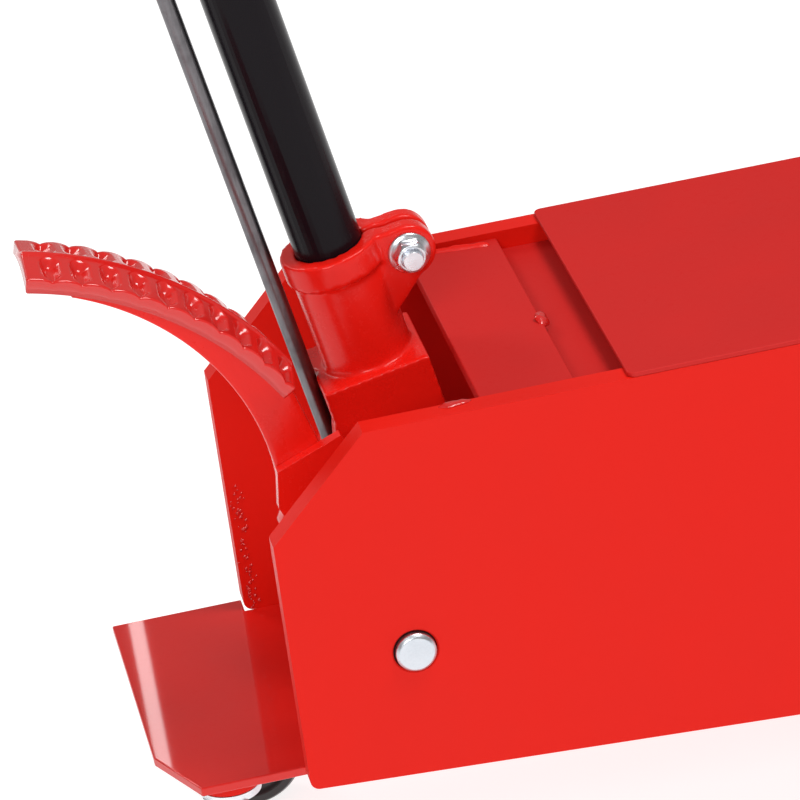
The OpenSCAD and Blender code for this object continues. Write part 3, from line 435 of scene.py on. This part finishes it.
softSet = {
    "side_plate_near": ("plateRed", 1.0), "side_plate_far": ("plateRed", 1.0), "top_cover": ("coverRed", 0.7),
    "rear_cross_plate": ("coverRed", 1.2), "base_plate": ("baseRed", 1.0), "belly_plate": ("plateRed", 1.0),
    "front_cross_plate": ("plateRed", 1.0), "ram_cradle": ("plateRed", 0.8), "yoke_pins": ("pin", 0.6),
    "arm_shaft": ("bare", 1.2), "shaft_collars": ("bare", 0.8), "link_anchors": ("bare", 0.6),
    "front_axle": ("bare", 1.2), "axle_washers": ("zinc", 0.3), "axle_nuts": ("zinc", 0.8),
    "hydraulic_block": ("plateRed", 2.0), "block_bolts": ("zinc", 0.5), "ram_cylinder": ("castRed", 1.0),
    "ram_gland": ("bare", 1.0), "oil_tank": ("plateRed", 1.5), "filler_plug": ("brass", 0.5),
    "valve_gland": ("bare", 0.6), "pump_gland": ("bare", 0.6), "castor_housings": ("plateRed", 1.5),
    "clamp_bolt": ("zinc", 0.6), "handle_tube": ("black", 0.5), "handle_crossbar": ("black", 0.5),
    "rod_guides": ("black", 0.8), "pump_roller": ("bare", 0.5), "release_rod": ("rod", 0.5),
    "drive_pin": ("bare", 0.3), "valve_spindle": ("bare", 0.3), "pedal_boss": ("castRed", 1.5),
    "pump_plunger": ("chrome", 0.8), "plunger_head": ("bare", 0.8), "piston_rod": ("chrome", 0.8),
    "crosshead": ("bare", 1.5), "arm_cheeks": ("plateRed", 1.0), "arm_hub": ("plateRed", 1.0),
    "arm_webs": ("plateRed", 0.8), "lever_pin": ("bare", 0.8), "bracket_pin": ("bare", 0.8),
    "link_bars": ("plateRed", 0.8), "link_pin": ("bare", 0.8), "saddle_bracket": ("castRed", 1.5),
    "saddle": ("black", 1.2), "front_wheel_near": ("black", 1.2), "front_wheel_far": ("black", 1.2),
    "castor_fork_near": ("zinc", 0.6), "castor_fork_far": ("zinc", 0.6), "castor_wheel_near": ("nylon", 0.8),
    "castor_wheel_far": ("nylon", 0.8), "pedal_plate": ("castRed", 1.8),
}
for node, (material, width) in softSet.items():
    softCopy(node, finish[material], width)
print("edge-rounded copies:", len(softSet))

castCopy("yoke", finish["castRed"], voxel=1.4, rounds=5)


# a thin dark slab of painted shade lines the front of the yoke's open rear, standing for the shadow in the
# cavity beside the rod
def yokeShadeSheet(s):
    points = [onHandle(ahead, side, up) for ahead in (s["front"] - s["thick"], s["front"])
              for up in (s["low"], s["high"]) for side in (-s["half"], s["half"])]
    faces = [(0, 1, 3, 2), (4, 6, 7, 5), (0, 4, 5, 1), (2, 3, 7, 6), (0, 2, 6, 4), (1, 5, 7, 3)]
    return meshPiece("yokeShadeSheet", points, faces, finish["paintedShadeRed"], "yoke", smooth=False)


yokeShadeSheet(dict(front=45.2, thick=0.6, half=21.4, low=34.0, high=121.0))
print("yoke cast")


pedalSet = dict(
    centre=(-233.5, 54.5), radius=222.0, low=32.5, high=78.0, pockets=10, shift=0.37, tail=1.4, half=30.0,
    thick=9.0, crown=5.0, pocketHalf=5.9, pocketDepth=5.0, spine=4.6, edgeDip=2.4, webHalf=8.0,
    webCentre=(-224.5, 91.5), webRadius=165.0, rowsPerPocket=22, columns=72)


# the tread: each angle along the arc carries a closed cross section. Its outer side stands at radius plus
# a crown that falls evenly from the spine to both lips, less one rounded pocket per pitch on each side of
# the spine, whose depth is a smooth step of the distance inside a capsule that runs from the spine to the
# lip. The lip dips beside each pocket, by one less the root of a cosine, so that it stands in rounded humps
# at the ribs.
def treadPiece(s):
    pitchTurn = (s["high"] - s["low"]) / s["pockets"]
    rows, top = s["pockets"] * s["rowsPerPocket"] + 1, s["columns"]
    turnAt = np.linspace(s["low"] - s["tail"], s["high"], rows)
    angle = np.radians(turnAt)
    phase = (turnAt - s["low"]) / pitchTurn + s["shift"]
    pitch = math.radians(pitchTurn) * s["radius"]
    side = np.linspace(-1.0, 1.0, top) * (s["half"] - 1.2)
    u = (np.mod(phase, 1.0) - 0.5)[:, None] * pitch
    v = np.abs(side)[None, :]
    heart = s["spine"] + s["pocketHalf"]
    mouth = s["half"] - 9.0
    inside = np.hypot(u, v - np.clip(v, heart, mouth)) - s["pocketHalf"]
    held = (smoothStep(-0.04, 0.04, phase)
            * (1.0 - smoothStep(s["pockets"] - 0.04, s["pockets"] + 0.04, phase)))[:, None]
    step = (1.0 - smoothStep(-4.4, 0.9, inside)) * held
    hump = (1.0 - np.abs(np.cos(math.pi * np.mod(phase, 1.0)))[:, None] ** 0.5) * held
    dip = s["edgeDip"] * hump * smoothStep(s["half"] - 10.0, s["half"] - 1.5, v)
    fall = 1.0 - v / s["half"]
    crown = s["crown"] * fall - smoothStep(0.0, s["spine"], v) * fall
    outer = s["radius"] + crown - s["pocketDepth"] * step - dip
    # edge round, flank and underside close the section
    turn = np.linspace(0.2, 1.0, 5) * math.pi / 2
    lipSide = s["half"] - 1.2 + 1.2 * np.sin(turn)
    lipDrop = 1.2 - 1.2 * np.cos(turn)
    under = np.linspace(s["half"], -s["half"], 18)
    underR = s["radius"] - s["thick"] + 4.0 * (1.0 - (under / s["half"]) ** 2)
    ones = np.ones((rows, 1))
    radius = np.hstack([outer, outer[:, -1:] - lipDrop, ones * underR, outer[:, :1] - lipDrop[::-1]])
    y = np.hstack([ones * side, ones * lipSide, ones * under, -ones * lipSide[::-1]])
    # the two ends shrink towards the middle of the section over their last few millimetres
    reach = np.minimum(turnAt - turnAt[0], turnAt[-1] - turnAt) / pitchTurn * pitch
    tuck = np.sqrt(np.clip(1.0 - (1.0 - np.clip(reach / 1.6, 0.0, 1.0)) ** 2, 0.0, 1.0))
    tuck = (0.88 + 0.12 * tuck)[:, None]
    midR = s["radius"] - s["thick"] / 2
    radius = midR + (radius - midR) * tuck
    y = y * (0.98 + 0.02 * (tuck - 0.88) / 0.12)
    x = s["centre"][0] + radius * np.cos(angle)[:, None]
    z = s["centre"][1] + radius * np.sin(angle)[:, None]
    yc = sum(p[1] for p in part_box("pedal_casting")) / 2 / mm
    points = pivot + mm * np.stack([x, y + yc, z], -1)
    return ringPiece("pedalTread", points, finish["treadRed"], "pedal_casting", standsFor=["pedal_casting"])


# the web: a flat rib between an outer line that follows the tread's underside and an inner arc, with a
# rounded rim. Each station joins one point of the outer line to one of the inner line, and the section
# across it is a rounded bar.
def webPiece(s):
    stations, around = 90, 32
    cx, cz = s["centre"]
    wx, wz = s["webCentre"]
    top = np.radians(np.linspace(68.4, 27.9, 60))
    outer = np.stack([cx + (s["radius"] - 6.0) * np.cos(top), cz + (s["radius"] - 6.0) * np.sin(top)], -1)
    outer = np.vstack([outer, [(-31.5, 119.5)], [(-20.0, 71.5)]])
    arc = np.radians(np.linspace(67.8, -5.0, 60))
    inner = np.stack([wx + s["webRadius"] * np.cos(arc), wz + s["webRadius"] * np.sin(arc)], -1)
    inner = np.vstack([inner, [(-63.0, 71.5)]])

    def even(line):
        run = np.concatenate([[0.0], np.cumsum(np.linalg.norm(np.diff(line, axis=0), axis=1))])
        at = np.linspace(0.0, run[-1], stations)
        return np.stack([np.interp(at, run, line[:, k]) for k in (0, 1)], -1)

    outer, inner = even(outer), even(inner)
    turn = np.linspace(0.0, 2 * math.pi, around, endpoint=False)
    share = 0.5 + 0.5 * np.sign(np.cos(turn)) * np.abs(np.cos(turn)) ** 0.18
    thick = s["webHalf"] * np.sign(np.sin(turn)) * np.abs(np.sin(turn)) ** 0.35
    line = inner[:, None, :] + (outer - inner)[:, None, :] * share[None, :, None]
    yc = sum(p[1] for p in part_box("pedal_casting")) / 2 / mm
    y = np.broadcast_to(yc + thick, line.shape[:2])
    points = pivot + mm * np.stack([line[..., 0], y, line[..., 1]], -1)
    return ringPiece("pedalWeb", points, finish["castRed"], "pedal_casting", standsFor=["pedal_casting"])


treadPiece(pedalSet)
webPiece(pedalSet)
print("foot pedal done")


nutSet = dict(
    flange=13.0, flangeThick=2.0, hexHalf=8.9, height=11.0, bolt=6.0, proud=3.4, dimple=2.2, pitch=1.75)


# turns a radius per depth and angle about the clamp bolt's axis, with each ring at its depth behind the face
def aboutBolt(middle, face, radius, depth, turn):
    spoke = np.cos(turn)[:, None] * handleAhead + np.sin(turn)[:, None] * handleUp
    points = np.array([middle[0], 0.0, middle[2]]) + mm * (radius[..., None] * spoke)
    points[..., 1] = face - mm * depth[:, None]
    return points


# the nut turns one profile about the bolt: flange rim, a dished cone up to the flats, six flats whose radius
# is the half width over the cosine of the angle from the nearest flat, cut by a cone at the top for the
# chamfer
def nutPiece(s):
    low, high = (np.array(p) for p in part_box("clamp_nut"))
    middle = (low + high) / 2
    face = high[1]
    turn = np.linspace(0.0, 2 * math.pi, 144, endpoint=False)
    flats = s["hexHalf"] / np.cos(np.mod(turn + 0.22, math.pi / 3) - math.pi / 6)
    depth = np.array(
        [0.0, 0.3, 1.4, s["flangeThick"], 2.4, 2.9, 3.4, 4.0, 6.0, 8.0, 9.2, 9.8, 10.3, 10.7, s["height"]])
    rim = np.array([s["flange"] - 0.3, s["flange"], s["flange"], s["flange"] - 0.4, 11.6, 10.9, 10.3])
    radius = np.empty((len(depth), len(turn)))
    radius[:7] = rim[:, None]
    chamfer = s["hexHalf"] * 1.155 - np.clip(depth[7:] - 8.6, 0, None)[:, None] * 0.75
    radius[7:] = np.minimum(flats[None, :], chamfer)
    depth = np.append(depth, [s["height"] + 0.05, s["height"] - 1.0])
    mouth = np.broadcast_to([[s["bolt"] + 0.6], [s["bolt"] - 0.2]], (2, len(turn)))
    points = aboutBolt(middle, face, np.vstack([radius, mouth]), depth, turn)
    return ringPiece("clampNutTurned", points, finish["zinc"], "clamp_nut", standsFor=["clamp_nut"])


# the bolt's end: a radius that rises and falls once per turn and per pitch, as a thread does, then a
# chamfer and a dished centre
def boltEndPiece(s):
    low, high = (np.array(p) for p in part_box("clamp_nut"))
    middle = (low + high) / 2
    turn = np.linspace(0.0, 2 * math.pi, 64, endpoint=False)
    depth = np.linspace(s["height"] - 1.2, s["height"] + s["proud"] - 0.9, 30)
    wave = np.abs(np.mod(depth[:, None] / s["pitch"] - turn[None, :] / (2 * math.pi), 1.0) * 2 - 1)
    radius = s["bolt"] - 0.75 * wave
    tip = s["height"] + s["proud"]
    capDepth = np.array([tip - 0.5, tip - 0.1, tip, tip - 0.05, tip - 0.9, tip - 1.3])
    capRadius = np.array(
        [s["bolt"] - 0.7, s["bolt"] - 1.1, s["bolt"] - 1.7, s["dimple"] + 0.5, s["dimple"] - 0.4, 0.6])
    radius = np.vstack([radius, np.broadcast_to(capRadius[:, None], (len(capDepth), len(turn)))])
    depth = np.append(depth, capDepth)
    points = aboutBolt(middle, high[1], radius, depth, turn)
    return ringPiece("clampBoltEnd", points, finish["zinc"], "clamp_bolt")


nutPiece(nutSet)
boltEndPiece(nutSet)
print("clamp nut done")


# round wire carried along a helix: the ring at each turn angle lies in the plane across the helix line
def coilPiece(name, node, axisStart, axisEnd, radius, wire, turns, material):
    axisStart, axisEnd = np.array(axisStart), np.array(axisEnd)
    way = (axisEnd - axisStart) / np.linalg.norm(axisEnd - axisStart)
    sideA = np.cross(way, [0.0, 0.0, 1.0])
    sideA /= np.linalg.norm(sideA)
    sideB = np.cross(way, sideA)
    t = np.linspace(0.0, turns * 2 * math.pi, int(turns * 36) + 1)
    rise = np.interp(t / t[-1], [0, 0.08, 0.92, 1], [0.02, 0.04, 0.96, 0.98])
    out = np.cos(t)[:, None] * sideA + np.sin(t)[:, None] * sideB
    line = axisStart + (axisEnd - axisStart) * rise[:, None] + mm * radius * out
    around = np.linspace(0.0, 2 * math.pi, 10, endpoint=False)
    ring = mm * wire * (
        np.cos(around)[None, :, None] * out[:, None, :] + np.sin(around)[None, :, None] * way)
    return ringPiece(name, line[:, None, :] + ring, material, node, standsFor=[node])


low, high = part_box("pump_spring")
y, z = (low[1] + high[1]) / 2, (low[2] + high[2]) / 2
pumpSpring = coilPiece("pumpSpringWire", "pump_spring", (low[0], y, z), (high[0], y, z),
                       14.0, 1.8, 6.5, finish["spring"])
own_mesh(pumpSpring)
low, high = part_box("pedal_spring")
coilPiece("pedalSpringWire", "pedal_spring", (pivot[0], low[1] + 0.002, pivot[2]),
          (pivot[0], high[1] - 0.002, pivot[2]), 15.1, 1.9, 2.0, finish["spring"])
print("springs done")


gripSet = dict(radius=18.0, rib=0.9, ribs=22, length=104.0, collar=22.0, collarLength=6.0)


# the grip turns a ribbed profile about the crossbar: a collar, then a radius that swells with a cosine once
# per rib, and a domed end
def gripPiece(s, sign):
    low, high = (np.array(p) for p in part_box("handle_grips"))
    end = high[1] / mm
    start = end - s["length"] - s["collarLength"] - 6.0
    along = np.linspace(start, end - 5.0, 260)
    rib = s["radius"] - s["rib"] + s["rib"] * np.cos((along - start) / s["length"] * s["ribs"] * 2 * math.pi)
    radius = np.where(along < start + s["collarLength"], s["collar"], rib)
    dome = np.linspace(0.0, 1.0, 12)[1:]
    along = np.concatenate([[start], along, end - 5.0 + 5.0 * np.sin(dome * math.pi / 2)])
    radius = np.concatenate([[14.2], radius, (s["radius"] - 1.0) * np.cos(dome * math.pi / 2) + 0.3])
    turn = np.linspace(0.0, 2 * math.pi, 40, endpoint=False)
    middle = (low + high) / 2
    points = np.array([middle[0], 0.0, middle[2]]) + mm * radius[:, None, None] * (
        np.cos(turn)[:, None] * np.array([1.0, 0, 0]) + np.sin(turn)[:, None] * np.array([0, 0, 1.0]))
    points[..., 1] = sign * mm * along[:, None]
    return ringPiece("rubberGrip" + ("Far" if sign > 0 else "Near"), points, finish["rubber"], "handle_grips",
                     standsFor=["handle_grips"])


for sign in (-1, 1):
    gripPiece(gripSet, sign)
softCopy("release_knob", finish["rubber"], 1.2)
print("grips and knob done")


# a bead runs along a line: its section is a half round that swells and falls once per ripple, and its width
# wanders with a slow sine. lift is the way out of the surface.
def weldBead(name, node, line, lift, width, height, ripple=2.6, seed=0.0, material="weldRed"):
    line, lift = np.asarray(line, float), np.asarray(lift, float)
    lift /= np.linalg.norm(lift)
    run = np.concatenate([[0.0], np.cumsum(np.linalg.norm(np.diff(line, axis=0), axis=1))])
    count = max(int(run[-1] / (ripple * mm) * 8), 24)
    at = np.linspace(0.0, run[-1], count)
    core = np.stack([np.interp(at, run, line[:, k]) for k in range(3)], -1)
    way = np.gradient(core, axis=0)
    way /= np.linalg.norm(way, axis=1, keepdims=True)
    side = np.cross(way, lift)
    side /= np.linalg.norm(side, axis=1, keepdims=True)
    s = at / mm
    beat = 0.86 + 0.14 * np.abs(np.sin(math.pi * s / ripple + seed))
    wander = 1.0 + 0.16 * np.sin(s * 0.31 + seed * 3.1) + 0.08 * np.sin(s * 0.83 + seed)
    ends = np.sqrt(np.clip(np.minimum(s, s[-1] - s) / (0.7 * width), 0.02, 1.0))
    half = 0.5 * width * wander * ends * (0.94 + 0.06 * beat)
    rise = height * beat * ends
    turn = np.linspace(0.0, 2 * math.pi, 20, endpoint=False)
    points = core[:, None, :] + mm * (
        (half[:, None] * np.cos(turn))[..., None] * side[:, None, :]
        + (np.where(np.sin(turn) > 0, rise[:, None], 0.8) * np.sin(turn))[..., None] * lift)
    return ringPiece(name, points, finish[material], node, slotName="chassis_red")


# spatter: small round drops of metal strewn along a line on a flat face, each a ball cut by the face, with
# sizes and offsets from a seeded generator
def spatter(name, node, start, end, lift, spread, sizes, count, seed):
    rng = np.random.default_rng(seed)
    start, end, lift = (np.asarray(v, float) for v in (start, end, lift))
    side = np.cross(end - start, lift)
    side /= np.linalg.norm(side)
    turn = np.linspace(0.0, 2 * math.pi, 12, endpoint=False)
    points, faces = [], []
    for share in rng.random(count):
        heart = start + (end - start) * share + side * mm * spread * rng.normal()
        size = mm * rng.uniform(*sizes)
        base = len(points)
        one, two = side, np.cross(lift, side)
        for ring in (0.0, 0.45, 0.8):
            for t in turn:
                wide = size * math.sqrt(1.0 - ring * ring)
                spoke = math.cos(t) * one + math.sin(t) * two
                points.append(heart + wide * spoke + lift * size * ring * 0.8)
        points.append(heart + lift * size * 0.8)
        for k in range(2):
            for t in range(12):
                near, far = base + k * 12 + t, base + k * 12 + (t + 1) % 12
                faces.append((near, far, far + 12, near + 12))
        faces += [(base + 24 + t, base + 24 + (t + 1) % 12, base + 36) for t in range(12)]
        faces.append(tuple(base + t for t in range(11, -1, -1)))
    return meshPiece(name, points, faces, finish["weldRed"], node, slotName="chassis_red")


# heights on the far plate count from its lowest point, which is at its front
low, high = (np.array(p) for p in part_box("side_plate_far"))
farIn = low[1]
rearX = low[0]
floorZ = low[2]
spatter("spatterFarPost", "side_plate_far", (rearX + 7 * mm, farIn, floorZ + 150 * mm),
        (rearX + 6 * mm, farIn, floorZ + 44 * mm), (0, -1, 0), 2.2, (0.5, 1.4), 90, 3)
spatter("spatterFarFoot", "side_plate_far", (rearX + 8 * mm, farIn, floorZ + 50 * mm),
        (rearX + 12 * mm, farIn, floorZ + 30 * mm), (0, -1, 0), 3.0, (1.6, 3.4), 9, 8)
crossLow, crossHigh = (np.array(p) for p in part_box("rear_cross_plate"))
crossTop = crossHigh[2]
stepEdge = crossLow[0] + 58 * mm
weldBead("weldCrossFront", "rear_cross_plate",
         [(stepEdge - 1 * mm, -25 * mm, crossTop - 1 * mm), (stepEdge + 1 * mm, -6 * mm, crossTop - 1 * mm)],
         (0.6, 0, 0.8), 9.0, 4.0, ripple=6.0, seed=2.1)
weldBead("weldCrossFar", "rear_cross_plate",
         [(crossLow[0] + 14 * mm, crossHigh[1] - 4 * mm, crossTop),
          (stepEdge - 6 * mm, crossHigh[1] - 9 * mm, crossTop)],
         (0, -0.5, 0.8), 6.0, 1.2, ripple=60.0, seed=0.7, material="castRed")
nearLow, nearHigh = (np.array(p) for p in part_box("side_plate_near"))
weldBead("weldNearTop", "side_plate_near",
         [(crossLow[0] - 26 * mm, nearHigh[1] - 3 * mm, nearHigh[2]),
          (crossLow[0] - 6 * mm, nearHigh[1] - 2 * mm, nearHigh[2])],
         (0, 0, 1), 7.0, 1.6, ripple=5.0, seed=1.9)


# a thin dark ring of painted shadow lies in the countersink round the near pin, a little towards its upper
# rear side
def pinShadowRing(s):
    turn = np.linspace(0.0, 2 * math.pi, 64, endpoint=False)
    circle = np.stack([np.cos(turn), np.zeros(64), np.sin(turn)], -1)
    face = np.array([pivot[0], nearLow[1] + s["deep"] * mm, pivot[2]])
    shift = np.array([-s["rear"], 0.0, s["up"]]) * mm
    rings = [(s["inner"], 0.0), (s["outer"], 0.0), (s["outer"], 0.4), (s["inner"], 0.4)]
    points = np.stack([face + shift * (r > s["inner"]) + circle * r * mm + np.array([0, d * mm, 0])
                       for r, d in rings], 1)
    loop = [(t, k, (t + 1) % 64, (k + 1) % 4) for t in range(64) for k in range(4)]
    faces = [(t * 4 + k, t * 4 + j, u * 4 + j, u * 4 + k) for t, k, u, j in loop]
    return meshPiece("pinShadowRing", points, faces, finish["paintedShadeRed"], "side_plate_near",
                     slotName="chassis_red")


pinShadowRing(dict(deep=0.9, inner=12.7, outer=13.5, rear=0.4, up=0.4))
print("welds done")


stageSet = dict(floorSize=30.0, floorColour=(0.36, 0.36, 0.36, 1), glow=0.84)
bpy.ops.mesh.primitive_plane_add(size=stageSet["floorSize"], location=(0, 0, 0))
floor = bpy.context.object
floor.name = "floor"
material, tree, shader, spot = startMaterial("paleFloor")
shader.inputs["Base Color"].default_value = stageSet["floorColour"]
shader.inputs["Roughness"].default_value = 0.9
shader.inputs["Emission Color"].default_value = (1, 1, 1, 1)
shader.inputs["Emission Strength"].default_value = stageSet["glow"]
floor.data.materials.append(material)

worldSet = dict(colour=(1.0, 0.98, 0.96, 1), strength=0.28)
world = bpy.data.worlds.new("studio")
bpy.context.scene.world = world
world.use_nodes = True
world.node_tree.nodes["Background"].inputs["Color"].default_value = worldSet["colour"]
world.node_tree.nodes["Background"].inputs["Strength"].default_value = worldSet["strength"]

lightSet = [
    dict(name="key", at=(-1.9, -3.4, 2.4), aim=(-0.3, 0, 0.25), size=1.6, power=66.0),
    dict(name="top", at=(0.7, -0.6, 3.2), aim=(-0.2, 0, 0.2), size=1.2, power=62.0),
    dict(name="back", at=(-2.2, 2.4, 2.6), aim=(-0.4, 0, 0.2), size=1.0, power=26.0),
]
lightSet += [
    dict(name="stripLeft", at=(-0.366, 2.72, 1.60), aim=(-0.366, -1.0, 0.1), size=0.018, tall=0.34,
         power=0.12),
    dict(name="stripRight", at=(-0.225, 2.72, 1.62), aim=(-0.225, -1.0, 0.1), size=0.008, tall=0.36,
         power=0.03),
]
for one in lightSet:
    lamp = bpy.data.lights.new(one["name"], "AREA")
    lamp.shape = "RECTANGLE"
    lamp.size = one["size"]
    lamp.size_y = one.get("tall", one["size"])
    lamp.energy = one["power"]
    holder = bpy.data.objects.new(one["name"], lamp)
    holder.location = one["at"]
    holder.rotation_euler = (Vector(one["aim"]) - Vector(one["at"])).to_track_quat("-Z", "Y").to_euler()
    bpy.context.scene.collection.objects.link(holder)

cameraSet = dict(fromPivot=(-0.3343, -2.7251, 1.4184), heading=7.60, tilt=25.59, roll=-8.18, lens=224.9)
camera = bpy.data.objects.new("camera", bpy.data.cameras.new("camera"))
bpy.context.scene.collection.objects.link(camera)
camera.location = Vector(pivot) + Vector(cameraSet["fromPivot"])
turned = (Matrix.Rotation(-math.radians(cameraSet["heading"]), 4, "Z")
          @ Matrix.Rotation(math.radians(90 - cameraSet["tilt"]), 4, "X")
          @ Matrix.Rotation(math.radians(cameraSet["roll"]), 4, "Z"))
camera.rotation_euler = turned.to_euler()
camera.data.lens = cameraSet["lens"]
camera.data.sensor_width = 36.0
camera.data.clip_start = 0.05
bpy.context.scene.camera = camera
bpy.context.scene.view_settings.view_transform = "Standard"
print("stage ready")
